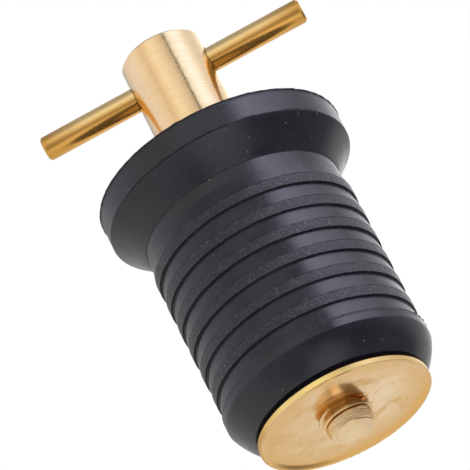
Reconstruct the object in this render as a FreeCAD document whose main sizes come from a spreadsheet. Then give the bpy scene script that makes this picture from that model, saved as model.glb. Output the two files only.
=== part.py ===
import FreeCAD, Part
import os
import re

import Sketcher

# Twist-in drain plug for a boat: a T handle turns a stud, a tapped plate climbs the stud,
# and the rubber bung between the plate and the handle swells and seals the drain tube.
# Frame: +Z along the plug's axis towards the handle, +X along the handle bar,
# origin on the axis at the upper edge of the first sealing land. Millimetres.

SIZES = {
    # rubber bung, from the flange down to the nose
    "flange_radius": 19.05,
    "rim_height": 3.85,
    "rim_lip": 0.15,
    "rim_lip_height": 0.22,
    "flange_cone_height": 4.45,
    "flange_cone_arc": 26.0,
    "neck_length": 4.3,
    "neck_waist": 2.3,
    "neck_radius": 15.35,
    "land_radius": 15.85,
    "land_length": 1.62,
    "tier_pitch": 4.07,
    "tier_steps": 6,
    "step_depth": 0.38,
    "last_land_lip": 0.1,
    "nose_length": 4.1,
    "nose_radius": 13.4,
    "nose_arc": 12.0,
    "nose_chamfer": 0.15,
    "boss_radius": 12.2,
    "boss_height": 0.7,
    # stud and its running clearances
    "thread_radius": 4.0,
    "thread_length": 18.0,
    "thread_proud": 0.75,
    "thread_clearance": 0.05,
    "bore_clearance": 0.3,
    "shank_radius": 3.9,
    "tip_radius": 3.75,
    "tip_length": 1.85,
    "tip_end_radius": 3.28,
    "tip_chamfer": 0.15,
    # clamp plate
    "plate_radius": 13.4,
    "plate_thickness": 0.85,
    "plate_chamfer": 0.12,
    "plate_play": 0.05,
    # thrust washer
    "washer_radius": 10.5,
    "washer_thickness": 0.78,
    "washer_chamfer": 0.15,
    # handle hub and bar
    "hub_radius": 6.35,
    "hub_height": 21.25,
    "hub_crown_chamfer": 0.4,
    "hub_foot_chamfer": 0.3,
    "socket_depth": 11.0,
    "bar_height": 16.4,
    "bar_radius": 1.9,
    "bar_length": 43.4,
    "bar_chamfer": 0.35,
    "press_gap": 0.01,
    "mouth_depth": 0.15,
}

# Places along the axis, each worked out from the sizes above.
PLACES = {
    "rim_bottom": "neck_length + flange_cone_height",
    "lip_start": "rim_bottom + rim_height",
    "flange_top": "lip_start + rim_lip_height",
    "first_step": "-land_length",
    "last_step": "first_step - (tier_steps - 1) * tier_pitch",
    "last_crease": "last_step - tier_pitch + land_length",
    "last_land_end": "last_step - tier_pitch",
    "nose_end": "last_land_end - nose_length",
    "boss_end": "nose_end - boss_height",
    "bore_radius": "thread_radius + bore_clearance",
    "plate_top": "boss_end - plate_play",
    "plate_bottom": "plate_top - plate_thickness",
    "thread_end": "plate_bottom - thread_proud",
    "thread_top": "thread_end + thread_length",
    "tip_end": "thread_end - tip_length",
    "hub_foot": "flange_top + washer_thickness",
    "hub_top": "hub_foot + hub_height",
    "socket_top": "hub_foot + socket_depth",
    "bar_axis": "hub_foot + bar_height",
    "mouth_start": "sqrt(hub_radius ^ 2 - bar_radius ^ 2) - mouth_depth",
    "mouth_floor": "bar_axis + bar_radius + press_gap",
}

SLACK = 1.0        # how far a cutting profile reaches past the surface that it cuts
ON_AXIS = 1e-9     # a dimension smaller than this lies on the axis
SAME = 1e-4        # two lengths closer than this are equal

doc = FreeCAD.newDocument("drain_plug")
sheet = doc.addObject("Spreadsheet::Sheet", "Sizes")
for row, (alias, value) in enumerate(SIZES.items(), start=1):
    sheet.set(f"A{row}", alias)
    sheet.set(f"B{row}", str(value))
    sheet.setAlias(f"B{row}", alias)
doc.recompute()


def sheet_formula(text):
    """Write a formula of plain size names as one that reads the sheet."""
    def swap(match):
        name = match.group(0)
        if name in PLACES:
            return "(" + sheet_formula(PLACES[name]) + ")"
        if name in SIZES:
            return "Sizes." + name
        return name
    return re.sub(r"[a-z_]+", swap, text)


def number(text):
    """The value of a formula of plain size names, in millimetres."""
    return float(sheet.evalExpression(sheet_formula(text)))


def origin_part(body, role):
    """A body's own origin plane or axis, such as XY_Plane or Z_Axis."""
    return next(f for f in body.Origin.OriginFeatures if f.Role == role)


def new_body(label):
    body = doc.addObject("PartDesign::Body", label)
    body.Label = label
    body.Placement = FreeCAD.Placement()
    return body


def new_sketch(body, name, plane):
    sketch = body.newObject("Sketcher::SketchObject", name)
    sketch.AttachmentSupport = [(origin_part(body, plane), "")]
    sketch.MapMode = "FlatFace"
    return sketch


def pin_point(sketch, line, end, across, along):
    """Dimension one end of a line from the sketch's origin, by two formulas."""
    for kind, text in (("DistanceX", across), ("DistanceY", along)):
        value = number(text)
        if abs(value) < ON_AXIS:
            axis = -2 if kind == "DistanceX" else -1
            sketch.addConstraint(Sketcher.Constraint("PointOnObject", line, end, axis))
            continue
        index = sketch.addConstraint(Sketcher.Constraint(kind, line, end, value))
        sketch.setExpression(f"Constraints[{index}]", sheet_formula(text))


def draw_outline(sketch, corners, hollows=None, bulges=None, centre_height=None):
    """Draw a closed outline through corners given as two formulas each.

    hollows and bulges map the number of a side to the radius of an arc that replaces its straight
    line, bent into the outline or out of it.
    centre_height adds a construction line along X at that height, to turn the outline about.
    """
    hollows = hollows or {}
    bulges = bulges or {}
    points = [FreeCAD.Vector(number(a), number(b), 0) for a, b in corners]
    count = len(points)
    for side in range(count):
        start = points[side]
        end = points[(side + 1) % count]
        if side in hollows:
            sketch.addGeometry(clockwise_arc(start, end, number(hollows[side])), False)
        elif side in bulges:
            sketch.addGeometry(clockwise_arc(end, start, number(bulges[side])), False)
        else:
            sketch.addGeometry(Part.LineSegment(start, end), False)
    for side in range(count):
        following = (side + 1) % count
        sketch.addConstraint(Sketcher.Constraint(
            "Coincident", side, end_of(side, hollows), following, start_of(following, hollows)))
    for side, (across, along) in enumerate(corners):
        pin_point(sketch, side, start_of(side, hollows), across, along)
    for side, radius in {**hollows, **bulges}.items():
        index = sketch.addConstraint(Sketcher.Constraint("Radius", side, number(radius)))
        sketch.setExpression(f"Constraints[{index}]", sheet_formula(radius))
    if centre_height:
        height = number(centre_height)
        line = sketch.addGeometry(Part.LineSegment(
            FreeCAD.Vector(0, height, 0), FreeCAD.Vector(SLACK, height, 0)), True)
        pin_point(sketch, line, 1, "0", centre_height)
        pin_point(sketch, line, 2, str(SLACK), centre_height)
    return sketch


def clockwise_arc(start, end, radius):
    """An arc that runs clockwise from start to end, so its centre is on the right-hand side."""
    chord = end - start
    middle = (start + end) * 0.5
    side = FreeCAD.Vector(chord.y, -chord.x, 0).normalize()
    centre = middle + side * (radius ** 2 - (chord.Length / 2) ** 2) ** 0.5
    circle = Part.Circle(centre, FreeCAD.Vector(0, 0, 1), radius)
    return Part.ArcOfCircle(circle, circle.parameter(end), circle.parameter(start))


def start_of(side, hollows):
    """The number of a side's first vertex: arcs run anticlockwise, so a hollow one is reversed."""
    return 2 if side in hollows else 1


def end_of(side, hollows):
    return 1 if side in hollows else 2


def turn(body, name, sketch, kind="PartDesign::Revolution", axis="V_Axis"):
    """Revolve a sketch all the way round one of its axes, to add or to cut."""
    feature = body.newObject(kind, name)
    feature.Profile = sketch
    feature.ReferenceAxis = (sketch, [axis])
    feature.Angle = 360.0
    sketch.Visibility = False
    body.Tip = feature
    doc.recompute()
    return feature


def ring_edges(feature, radius, height):
    """Names of the round edges of a feature at a radius and a height on the axis."""
    names = []
    for index, edge in enumerate(feature.Shape.Edges, start=1):
        curve = edge.Curve
        if not isinstance(curve, Part.Circle):
            continue
        if abs(curve.Radius - number(radius)) < SAME and abs(curve.Center.z - number(height)) < SAME:
            names.append(f"Edge{index}")
    return names


def chamfer_edges(body, name, base, places, size):
    """Chamfer the round edges at the given radius and height pairs."""
    edges = []
    for radius, height in places:
        edges += ring_edges(base, radius, height)
    feature = body.newObject("PartDesign::Chamfer", name)
    feature.Base = (base, edges)
    feature.setExpression("Size", sheet_formula(size))
    body.Tip = feature
    doc.recompute()
    return feature


def make_rubber_bung():
    """One moulding: lipped flange, waisted neck, seven tiers that flare to a land, full nose and boss."""
    body = new_body("rubber_bung")
    envelope = draw_outline(
        new_sketch(body, "BungOutline", "XZ_Plane"),
        [
            ("bore_radius", "boss_end"),
            ("boss_radius", "boss_end"),
            ("boss_radius", "nose_end"),
            ("nose_radius", "nose_end"),
            ("land_radius + last_land_lip", "last_land_end"),
            ("land_radius + last_land_lip", "last_crease"),
            ("land_radius", "last_crease"),
            ("land_radius", "first_step + land_length"),
            ("neck_radius", "neck_waist"),
            ("neck_radius", "neck_length"),
            ("flange_radius", "rim_bottom"),
            ("flange_radius", "lip_start"),
            ("flange_radius + rim_lip", "lip_start"),
            ("flange_radius + rim_lip", "flange_top"),
            ("bore_radius", "flange_top"),
        ],
        hollows={9: "flange_cone_arc"},
        bulges={3: "nose_arc"},
    )
    turned = turn(body, "BungTurned", envelope)
    notch = draw_outline(
        new_sketch(body, "StepOutline", "XZ_Plane"),
        [
            ("land_radius - step_depth", "first_step"),
            ("land_radius", "first_step - tier_pitch + land_length"),
            (f"land_radius + {SLACK}", "first_step - tier_pitch + land_length"),
            (f"land_radius + {SLACK}", "first_step"),
        ],
    )
    step = turn(body, "Step", notch, kind="PartDesign::Groove")
    steps = body.newObject("PartDesign::LinearPattern", "Steps")
    steps.Originals = [step]
    steps.Direction = (origin_part(body, "Z_Axis"), [""])
    steps.Reversed = True
    steps.setExpression("Length", sheet_formula("(tier_steps - 1) * tier_pitch"))
    steps.setExpression("Occurrences", sheet_formula("tier_steps"))
    body.Tip = steps
    doc.recompute()
    chamfer_edges(body, "NoseChamfer", steps, [("nose_radius", "nose_end")], "nose_chamfer")
    assert turned.Shape.Volume > steps.Shape.Volume, "the steps cut nothing"
    return body


def make_clamp_plate():
    """The round plate below the rubber, its hole a running fit on the stud's thread."""
    body = new_body("clamp_plate")
    outline = draw_outline(
        new_sketch(body, "PlateOutline", "XZ_Plane"),
        [
            ("thread_radius + thread_clearance", "plate_bottom"),
            ("plate_radius", "plate_bottom"),
            ("plate_radius", "plate_top"),
            ("thread_radius + thread_clearance", "plate_top"),
        ],
    )
    disc = turn(body, "PlateTurned", outline)
    chamfer_edges(body, "PlateChamfer", disc,
                  [("plate_radius", "plate_top"), ("plate_radius", "plate_bottom")], "plate_chamfer")
    return body


def make_threaded_stud():
    """Stud: plain shank in the hub, threaded length through the plate and a tapered plain tip."""
    body = new_body("threaded_stud")
    outline = draw_outline(
        new_sketch(body, "StudOutline", "XZ_Plane"),
        [
            ("0", "tip_end"),
            ("tip_end_radius - tip_chamfer", "tip_end"),
            ("tip_end_radius", "tip_end + tip_chamfer"),
            ("tip_radius", "thread_end"),
            ("thread_radius", "thread_end"),
            ("thread_radius", "thread_top"),
            ("shank_radius", "thread_top"),
            ("shank_radius", "socket_top"),
            ("0", "socket_top"),
        ],
    )
    turn(body, "StudTurned", outline)
    return body


def make_thrust_washer():
    """Flat washer that the hub turns on, lying with its sharp edge on the rubber flange."""
    body = new_body("thrust_washer")
    outline = draw_outline(
        new_sketch(body, "WasherOutline", "XZ_Plane"),
        [
            ("bore_radius", "flange_top"),
            ("washer_radius", "flange_top"),
            ("washer_radius", "hub_foot"),
            ("bore_radius", "hub_foot"),
        ],
    )
    ring = turn(body, "WasherTurned", outline)
    chamfer_edges(body, "WasherChamfer", ring, [("washer_radius", "hub_foot")], "washer_chamfer")
    return body


def make_handle_hub():
    """Turned hub with a blind socket for the stud and a cross hole with eased mouths for the bar."""
    body = new_body("handle_hub")
    outline = draw_outline(
        new_sketch(body, "HubOutline", "XZ_Plane"),
        [
            ("shank_radius + press_gap", "hub_foot"),
            ("hub_radius", "hub_foot"),
            ("hub_radius", "hub_top"),
            ("0", "hub_top"),
            ("0", "socket_top"),
            ("shank_radius + press_gap", "socket_top"),
        ],
    )
    turned = turn(body, "HubTurned", outline)
    crown = chamfer_edges(body, "HubCrown", turned, [("hub_radius", "hub_top")], "hub_crown_chamfer")
    foot = chamfer_edges(body, "HubFoot", crown, [("hub_radius", "hub_foot")], "hub_foot_chamfer")

    circle_sketch = new_sketch(body, "CrossHoleCircle", "YZ_Plane")
    middle = FreeCAD.Vector(0, number("bar_axis"), 0)
    circle = Part.Circle(middle, FreeCAD.Vector(0, 0, 1), number("bar_radius + press_gap"))
    circle_sketch.addGeometry(circle, False)
    circle_sketch.addConstraint(Sketcher.Constraint("PointOnObject", 0, 3, -2))
    height = circle_sketch.addConstraint(Sketcher.Constraint("DistanceY", 0, 3, number("bar_axis")))
    circle_sketch.setExpression(f"Constraints[{height}]", sheet_formula("bar_axis"))
    radius = circle_sketch.addConstraint(Sketcher.Constraint("Radius", 0, number("bar_radius + press_gap")))
    circle_sketch.setExpression(f"Constraints[{radius}]", sheet_formula("bar_radius + press_gap"))
    hole = body.newObject("PartDesign::Pocket", "CrossHole")
    hole.Profile = circle_sketch
    hole.Type = "ThroughAll"
    hole.Midplane = True
    circle_sketch.Visibility = False
    body.Tip = hole
    doc.recompute()
    assert hole.Shape.Volume < foot.Shape.Volume, "the cross hole cuts nothing"

    mouth_outline = draw_outline(
        new_sketch(body, "MouthOutline", "XZ_Plane"),
        [
            ("mouth_start", "mouth_floor"),
            (f"hub_radius + {SLACK}", "mouth_floor"),
            (f"hub_radius + {SLACK}", f"mouth_floor + hub_radius + {SLACK} - mouth_start"),
        ],
        centre_height="bar_axis",
    )
    mouth = turn(body, "Mouth", mouth_outline, kind="PartDesign::Groove", axis="Axis0")
    both = body.newObject("PartDesign::Mirrored", "Mouths")
    both.Originals = [mouth]
    both.MirrorPlane = (origin_part(body, "YZ_Plane"), [""])
    body.Tip = both
    doc.recompute()
    assert both.Shape.Volume < mouth.Shape.Volume < hole.Shape.Volume, "a mouth cuts nothing"
    return body


def make_handle_bar():
    """Round bar through the hub, chamfered at both ends."""
    body = new_body("handle_bar")
    outline = draw_outline(
        new_sketch(body, "BarOutline", "XY_Plane"),
        [
            ("-bar_length / 2", "0"),
            ("bar_length / 2", "0"),
            ("bar_length / 2", "bar_radius - bar_chamfer"),
            ("bar_length / 2 - bar_chamfer", "bar_radius"),
            ("bar_chamfer - bar_length / 2", "bar_radius"),
            ("-bar_length / 2", "bar_radius - bar_chamfer"),
        ],
    )
    turn(body, "BarTurned", outline, axis="H_Axis")
    body.setExpression("Placement.Base.z", sheet_formula("bar_axis"))
    return body


def export_parts(bodies):
    doc.recompute()
    for item in doc.Objects:
        assert not {"Invalid", "Error"} & set(item.State), f"{item.Name} failed"
    for body in bodies:
        shape = body.Shape
        assert not shape.isNull() and shape.isValid(), f"{body.Label} has no valid shape"
        assert len(shape.Solids) == 1, f"{body.Label} is not one solid"
        shape.exportStep(os.path.join("parts", body.Label + ".step"))


os.makedirs("parts", exist_ok=True)
export_parts([
    make_rubber_bung(),
    make_clamp_plate(),
    make_threaded_stud(),
    make_thrust_washer(),
    make_handle_hub(),
    make_handle_bar(),
])
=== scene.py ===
import math

import bmesh
import bpy
from mathutils import Matrix, Vector, noise


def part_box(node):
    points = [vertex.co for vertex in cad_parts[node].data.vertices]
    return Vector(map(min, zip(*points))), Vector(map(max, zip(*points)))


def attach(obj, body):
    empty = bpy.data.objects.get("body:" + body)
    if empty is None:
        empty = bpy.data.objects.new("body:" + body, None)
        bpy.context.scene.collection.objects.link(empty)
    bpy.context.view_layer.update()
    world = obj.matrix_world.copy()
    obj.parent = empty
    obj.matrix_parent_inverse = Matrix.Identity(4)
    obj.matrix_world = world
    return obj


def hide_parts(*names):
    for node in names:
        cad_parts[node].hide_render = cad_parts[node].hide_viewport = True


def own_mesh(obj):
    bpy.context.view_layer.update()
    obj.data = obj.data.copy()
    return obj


# Looks of a twist-in drain plug: the ribbed rubber bung, the threaded stud and the tapped plate
# are modelled in full detail, and the turned brass parts get their finish.
# Metres, +Z along the plug towards its handle, +X along the handle bar.

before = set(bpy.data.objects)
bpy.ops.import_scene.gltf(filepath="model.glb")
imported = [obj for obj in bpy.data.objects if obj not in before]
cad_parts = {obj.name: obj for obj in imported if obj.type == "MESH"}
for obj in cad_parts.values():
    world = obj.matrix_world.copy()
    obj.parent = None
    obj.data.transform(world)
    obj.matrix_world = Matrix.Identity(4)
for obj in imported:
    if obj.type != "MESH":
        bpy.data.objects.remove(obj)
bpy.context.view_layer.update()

MM = 0.001
bung_low, bung_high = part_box("rubber_bung")
stud_low, stud_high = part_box("threaded_stud")
plate_low, plate_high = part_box("clamp_plate")

# rubber bung, as in the construction but for its roundings and the lip of its last land
LIP_RADIUS = bung_high.x
FLANGE_TOP = bung_high.z
BOSS_END = bung_low.z
RIM_HEIGHT = 3.85 * MM
RIM_LIP = 0.15 * MM
RIM_LIP_HEIGHT = 0.22 * MM
RIM_ROUND = 0.08 * MM
LIP_EDGE_ROUND = 0.03 * MM
FLANGE_RADIUS = LIP_RADIUS - RIM_LIP
LIP_START = FLANGE_TOP - RIM_LIP_HEIGHT
RIM_BOTTOM = LIP_START - RIM_HEIGHT
NECK_LENGTH = 4.3 * MM
NECK_WAIST = 2.3 * MM
NECK_RADIUS = 15.35 * MM
NECK_ROUND = 0.8 * MM
FLANGE_CONE_ARC = 26.0 * MM
LAND_RADIUS = 15.85 * MM
LAND_LENGTH = 1.62 * MM
LAST_LAND_LIP = 0.22 * MM
LAST_LAND_ROUND = 0.12 * MM
TIER_PITCH = 4.07 * MM
TIER_STEPS = 6
STEP_DEPTH = 0.38 * MM
STEP_ROUND = 0.06 * MM
NOSE_LENGTH = 4.1 * MM
NOSE_RADIUS = 13.4 * MM
NOSE_ARC = 12.0 * MM
NOSE_ROUND = 0.25 * MM
BOSS_RADIUS = 12.2 * MM
BORE_RADIUS = 4.3 * MM

# fine lines that the mould left on the rubber
RIM_LINE_RISE = 0.1 * MM                        # of the dark line above the rim's lower edge
RIM_LINE_DEPTH = 0.06 * MM
NECK_RIDGE = 0.07 * MM
LINE_HALF_WIDTH = 0.07 * MM
LINE_ROUND = 0.02 * MM
CREASE_DEPTH = 0.07 * MM
LAST_CREASE_DEPTH = 0.1 * MM
CREASE_HALF_WIDTH = 0.06 * MM

# stud and tapped plate
THREAD_RADIUS = stud_high.x
THREAD_PITCH = 1.25 * MM
THREAD_DEPTH = 0.68 * MM
CREST_FLAT = 0.22 * MM
ROOT_FLAT = 0.2 * MM
THREAD_TOP = stud_low.z + 19.85 * MM
SHANK_RADIUS = 3.9 * MM
TIP_RADIUS = 3.75 * MM
TIP_LENGTH = 1.85 * MM
TIP_END_RADIUS = 3.28 * MM
TIP_CHAMFER = 0.1 * MM
TIP_HOLLOW = 0.02 * MM
TIP_HOLLOW_RADIUS = 0.55 * TIP_END_RADIUS
TIP_ROUND = 0.04 * MM
TAP_CLEARANCE = 0.04 * MM
UNDERCUT = 0.3 * MM                             # groove between the last crest and the plain tip
UNDERCUT_DROP = 0.31 * MM
UNDERCUT_WIDTH = 0.1 * MM
TOOL_FEED = 0.27 * MM                           # spacing of the turning marks on the tip
TOOL_MARK = 0.007 * MM
TOOL_MARK_SIDE = (-20.0, 55.0)                  # where the marks are deepest, and how wide
TOOL_MARK_ELSEWHERE = 0.35
BURR_ANGLE = -23.0                              # curl of brass beside the plate, degrees from +X
BURR_HEIGHT = plate_low.z + 0.08 * MM
BURR_WIDTH = 6.0
BURR_THICKNESS = 0.15 * MM
BURR_SIZE = 0.7 * MM
BURR_RAGGEDNESS = 0.35
BURR_WAVES = (30, 5, 2)                         # noise by angle and by mm, and a place of its own
TAP_BURR_ANGLE = -24.0                          # burr at the edge of the hole, degrees from +X
TAP_BURR_WIDTH = 9.0
TAP_BURR_RADIUS = 4.35 * MM
TAP_BURR_SIZE = 0.16 * MM
PLATE_ROUND = 0.06 * MM
PLATE_DISH = 0.5 * MM                           # depth of the pan, which the solid hasn't got
DISH_FLOOR_RADIUS = 12.2 * MM
CREST_PHASE_HEIGHT = plate_low.z - 0.5 * MM     # height of the last crest where it faces -Y
CREST_FADE_START = plate_low.z - 0.95 * MM
CREST_FADE_END = plate_low.z - 1.25 * MM
# painted shadow in the undercut: its strength and width
UNDERCUT_SHADE = 1.5
UNDERCUT_SHADE_WIDTH = 0.8 * UNDERCUT_WIDTH

# how finely the meshes are divided
ROUNDING_STEP = math.radians(18)
ARC_STEPS = 12
BUNG_SIDES = 300
BUNG_STEP = 0.42 * MM
BORE_ROWS = 6
STUD_SIDES = 144
STUD_ROWS = 28                                  # rows of points to one turn of the thread
TIP_STEP = 0.045 * MM
SHANK_STEP = 3 * MM
PLATE_SIDES = 216
PLATE_ROWS = 20
PLATE_RINGS = 40
RING_CROWDING = 1.5                             # above 1, rings lie closer near the plate's hole
WELD_DISTANCE = 0.0005 * MM
SHARP_ANGLE = math.radians(38)

# Kinds of surface, kept in the mesh for the materials: smooth cones, rough lands, moulded flat
# faces, the creases between cone and land, grooves painted near-black as shade and ridges with a
# painted highlight. On the brass, SMOOTH marks the plate's rim, whose tones carry a painted
# highlight, and values above FLAT mark depth in the thread: the roots go darker and the undercut
# gets a painted shadow.
SMOOTH = 0.0
ROUGH = 1.0
FLAT = 0.5
CREASE = 0.75
DARK = -1.0
HIGHLIT_RIDGE = 4.0


def soften(corners):
    """A path of (radius, height, surface) through corners (radius, height, rounding, surface)."""
    path = []
    last = len(corners) - 1
    for index, (r, z, rounding, surface) in enumerate(corners):
        here = Vector((r, z))
        if rounding == 0 or index in (0, last):
            path.append((r, z, surface))
            continue
        before = (Vector(corners[index - 1][:2]) - here).normalized()
        after = (Vector(corners[index + 1][:2]) - here).normalized()
        half_turn = before.angle(after) / 2
        centre = here + (before + after).normalized() * (rounding / math.sin(half_turn))
        start = here + before * (rounding / math.tan(half_turn)) - centre
        end = here + after * (rounding / math.tan(half_turn)) - centre
        sweep = start.angle_signed(end)
        pieces = max(2, round(abs(sweep) / ROUNDING_STEP))
        for piece in range(pieces + 1):
            angle = -sweep * piece / pieces
            spoke = Matrix.Rotation(angle, 2) @ start
            path.append((centre.x + spoke.x, centre.y + spoke.y, surface))
    return path


def refine(path, longest):
    """The path with its long runs divided, so that fine unevenness has points to move."""
    finer = [path[0]]
    for (r0, z0, _), (r1, z1, surface) in zip(path, path[1:]):
        pieces = max(1, math.ceil(math.hypot(r1 - r0, z1 - z0) / longest))
        for piece in range(1, pieces + 1):
            share = piece / pieces
            finer.append((r0 + (r1 - r0) * share, z0 + (z1 - z0) * share, surface))
    return finer


def grid_faces(sides, count):
    """Faces between a closed turn of columns, each of as many points."""
    faces = []
    for side in range(sides):
        first = side * count
        following = (side + 1) % sides * count
        for k in range(count - 1):
            faces.append((first + k, following + k, following + k + 1, first + k + 1))
    return faces


def lathe(path, sides, shape=None):
    """Vertices, faces and surfaces of a path turned about Z.

    shape may move a point, given as (radius, height, angle, surface).
    """
    vertices = []
    surfaces = []
    for side in range(sides):
        angle = 2 * math.pi * side / sides
        for r, z, surface in path:
            if shape:
                r, z = shape(r, z, angle, surface)
            vertices.append((r * math.cos(angle), r * math.sin(angle), z))
            surfaces.append(surface)
    return vertices, grid_faces(sides, len(path)), surfaces


def screw_sheet(low, high, radius_at, sides, rows_per_pitch, darkening_at=None):
    """A sheet between two heights, with rows along the thread so that its crests stay clean."""
    step = THREAD_PITCH / rows_per_pitch
    rows = math.ceil((high - low + 2 * THREAD_PITCH) / step) + rows_per_pitch + 1
    vertices = []
    surfaces = []
    for side in range(sides):
        angle = 2 * math.pi * side / sides
        for row in range(rows):
            z = low - THREAD_PITCH + row * step + THREAD_PITCH * side / sides
            z = min(max(z, low), high)
            r = radius_at(angle, z)
            vertices.append((r * math.cos(angle), r * math.sin(angle), z))
            surfaces.append(darkening_at(angle, z, r) if darkening_at else FLAT)
    faces = []
    for side in range(sides):
        lift = rows_per_pitch if side == sides - 1 else 0
        following = (side + 1) % sides * rows + lift
        for row in range(rows - 1 - lift):
            a = side * rows + row
            b = following + row
            faces.append((a, b, b + 1, a + 1))
    return vertices, faces, surfaces


def build_object(name, parts):
    """One mesh object out of several (vertices, faces, surfaces), welded where they meet."""
    vertices, faces, surfaces = [], [], []
    for part_vertices, part_faces, part_surfaces in parts:
        offset = len(vertices)
        vertices += part_vertices
        surfaces += part_surfaces
        faces += [tuple(offset + i for i in face) for face in part_faces]
    mesh = bpy.data.meshes.new(name)
    mesh.from_pydata(vertices, [], faces)
    kind = mesh.attributes.new("surface", "FLOAT", "POINT")
    kind.data.foreach_set("value", surfaces)
    shell = bmesh.new()
    shell.from_mesh(mesh)
    bmesh.ops.remove_doubles(shell, verts=shell.verts, dist=WELD_DISTANCE)
    bmesh.ops.dissolve_degenerate(shell, edges=shell.edges, dist=WELD_DISTANCE)
    bmesh.ops.recalc_face_normals(shell, faces=shell.faces)
    shell.to_mesh(mesh)
    shell.free()
    mesh.shade_smooth()
    mesh.set_sharp_from_angle(angle=SHARP_ANGLE)
    piece = bpy.data.objects.new(name, mesh)
    bpy.context.scene.collection.objects.link(piece)
    return piece


def bowed(start, end, radius, side):
    """Corners of an arc between two points; side 1 bows it to the left, -1 to the right."""
    start = Vector(start)
    chord = Vector(end) - start
    across = Vector((-chord.y, chord.x)).normalized() * side
    half = chord.length / 2
    sunk = math.sqrt(radius ** 2 - half ** 2)
    corners = []
    for step in range(1, ARC_STEPS):
        share = step / ARC_STEPS
        along = (2 * share - 1) * half
        rise = math.sqrt(radius ** 2 - along ** 2) - sunk
        point = start + chord * share + across * rise
        corners.append((point.x, point.y, 0, SMOOTH))
    return corners


def bung_path():
    """The rubber's outline: from the top of its bore round the outside and up the bore."""
    corners = [
        (BORE_RADIUS, FLANGE_TOP, 0, FLAT),
        (LIP_RADIUS, FLANGE_TOP, RIM_ROUND, FLAT),
        (LIP_RADIUS, LIP_START, LIP_EDGE_ROUND, FLAT),
        (FLANGE_RADIUS, LIP_START, LIP_EDGE_ROUND, FLAT),
    ]
    corners += moulding_line(FLANGE_RADIUS, RIM_BOTTOM + RIM_LINE_RISE, -RIM_LINE_DEPTH)
    corners.append((FLANGE_RADIUS, RIM_BOTTOM, STEP_ROUND, SMOOTH))
    corners += bowed((FLANGE_RADIUS, RIM_BOTTOM), (NECK_RADIUS, NECK_LENGTH), FLANGE_CONE_ARC, -1)
    corners += moulding_line(NECK_RADIUS, NECK_LENGTH, NECK_RIDGE)
    corners.append((NECK_RADIUS, NECK_WAIST, NECK_ROUND, SMOOTH))
    crease = 0.0
    for tier in range(TIER_STEPS + 1):
        lip = LAST_LAND_LIP if tier == TIER_STEPS else 0.0
        land = LAND_RADIUS + lip
        corners += crease_corners(LAND_RADIUS, land, crease, DARK if lip else CREASE)
        shoulder = crease - LAND_LENGTH
        if tier < TIER_STEPS:
            corners += [
                (land, shoulder, STEP_ROUND, ROUGH),
                (land - STEP_DEPTH, shoulder, STEP_ROUND, SMOOTH),
            ]
        crease -= TIER_PITCH
    nose_end = shoulder - NOSE_LENGTH
    corners.append((land, shoulder, LAST_LAND_ROUND, SMOOTH))
    corners += bowed((land, shoulder), (NOSE_RADIUS, nose_end), NOSE_ARC, 1)
    corners += [
        (NOSE_RADIUS, nose_end, NOSE_ROUND, SMOOTH),
        (BOSS_RADIUS, nose_end, STEP_ROUND, FLAT),
        (BOSS_RADIUS, BOSS_END, STEP_ROUND, FLAT),
        (BORE_RADIUS, BOSS_END, 0, FLAT),
    ]
    outside = refine(soften(corners), BUNG_STEP)
    bore_length = FLANGE_TOP - BOSS_END
    bore = [(BORE_RADIUS, BOSS_END + bore_length * row / BORE_ROWS, FLAT)
            for row in range(1, BORE_ROWS + 1)]
    return outside + bore


def crease_corners(cone_radius, land_radius, height, surface):
    """The fine line that the mould leaves where a cone meets its land."""
    depth = CREASE_DEPTH if surface == CREASE else LAST_CREASE_DEPTH
    return [
        (cone_radius, height + CREASE_HALF_WIDTH, 0, SMOOTH),
        (cone_radius - depth, height, 0, surface),
        (land_radius, height - CREASE_HALF_WIDTH, 0, ROUGH),
    ]


def moulding_line(radius, height, rise):
    """A fine ridge with a painted highlight, or groove with painted shade, round an upright wall.
    """
    return [
        (radius, height + LINE_HALF_WIDTH, 0, SMOOTH),
        (radius + rise, height, LINE_ROUND, HIGHLIT_RIDGE if rise > 0 else DARK),
        (radius, height - LINE_HALF_WIDTH, 0, SMOOTH),
    ]


def bump_at(angle, centre_degrees, width_degrees):
    """A narrow smooth bump round an angle, 1 at its middle."""
    away = (math.degrees(angle) - centre_degrees + 180) % 360 - 180
    return math.exp(-(away / width_degrees) ** 2)


# The small moulding marks: degrees from +X towards +Y, width in degrees and height in mm.
RIM_NICKS = [
    (-95.3, 0.9, 0.22), (-60.6, 0.8, 0.2), (-72.0, 0.5, 0.12), (-118.0, 0.6, 0.12),
    (-37.0, 0.8, 0.14), (24.0, 0.7, 0.16), (71.0, 1.1, 0.14), (133.0, 0.6, 0.2),
    (178.0, 0.9, 0.12), (216.0, 0.7, 0.15),
]
LAST_CREASE_FLASH = [
    (-14.0, 5.0, 0.14), (-8.0, 1.2, 0.22), (-3.0, 1.0, 0.2), (4.0, 2.0, 0.16), (160.0, 6.0, 0.12),
]
NICK_SHARE = 0.5                                # of a nick's height that shows on the edge
FLASH_REACH = 0.35 * MM
FLASH_LEAST = 0.6
FLASH_JAG = 0.8

# Noise of the rubber: waves round the plug, waves to a mm along it and a place of its own.
SLOW_NOISE = (1.6, 0.07, 0)
FINE_NOISE = (42, 2.1, 7)
GAP_NOISE = (9, 1, 3)
SHOULDER_NOISE = (26, 0.5, 0)
LIP_NOISE = (17, 0, 4)
FLASH_NOISE = (60, 0, 1.5)
SLOW_WAVE = 0.035 * MM
LAND_GRAIN = 0.022 * MM
CREASE_FILLING = 0.07 * MM
SHOULDER_RAGGEDNESS = 0.03 * MM
LIP_WEAR = 0.12 * MM
LIP_WEAR_START = 0.05
LIP_GRAIN = 0.02 * MM

# Which points of the rubber are out of sight, near a land's lower edge or on the rim's lip.
HIDDEN_RADIUS = BOSS_RADIUS + 0.1 * MM
SHOULDER_START = 0.8 * LAND_LENGTH
LIP_LOW = LIP_START - 0.02 * MM
LIP_INSIDE = FLANGE_RADIUS + 0.3 * RIM_LIP


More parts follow.
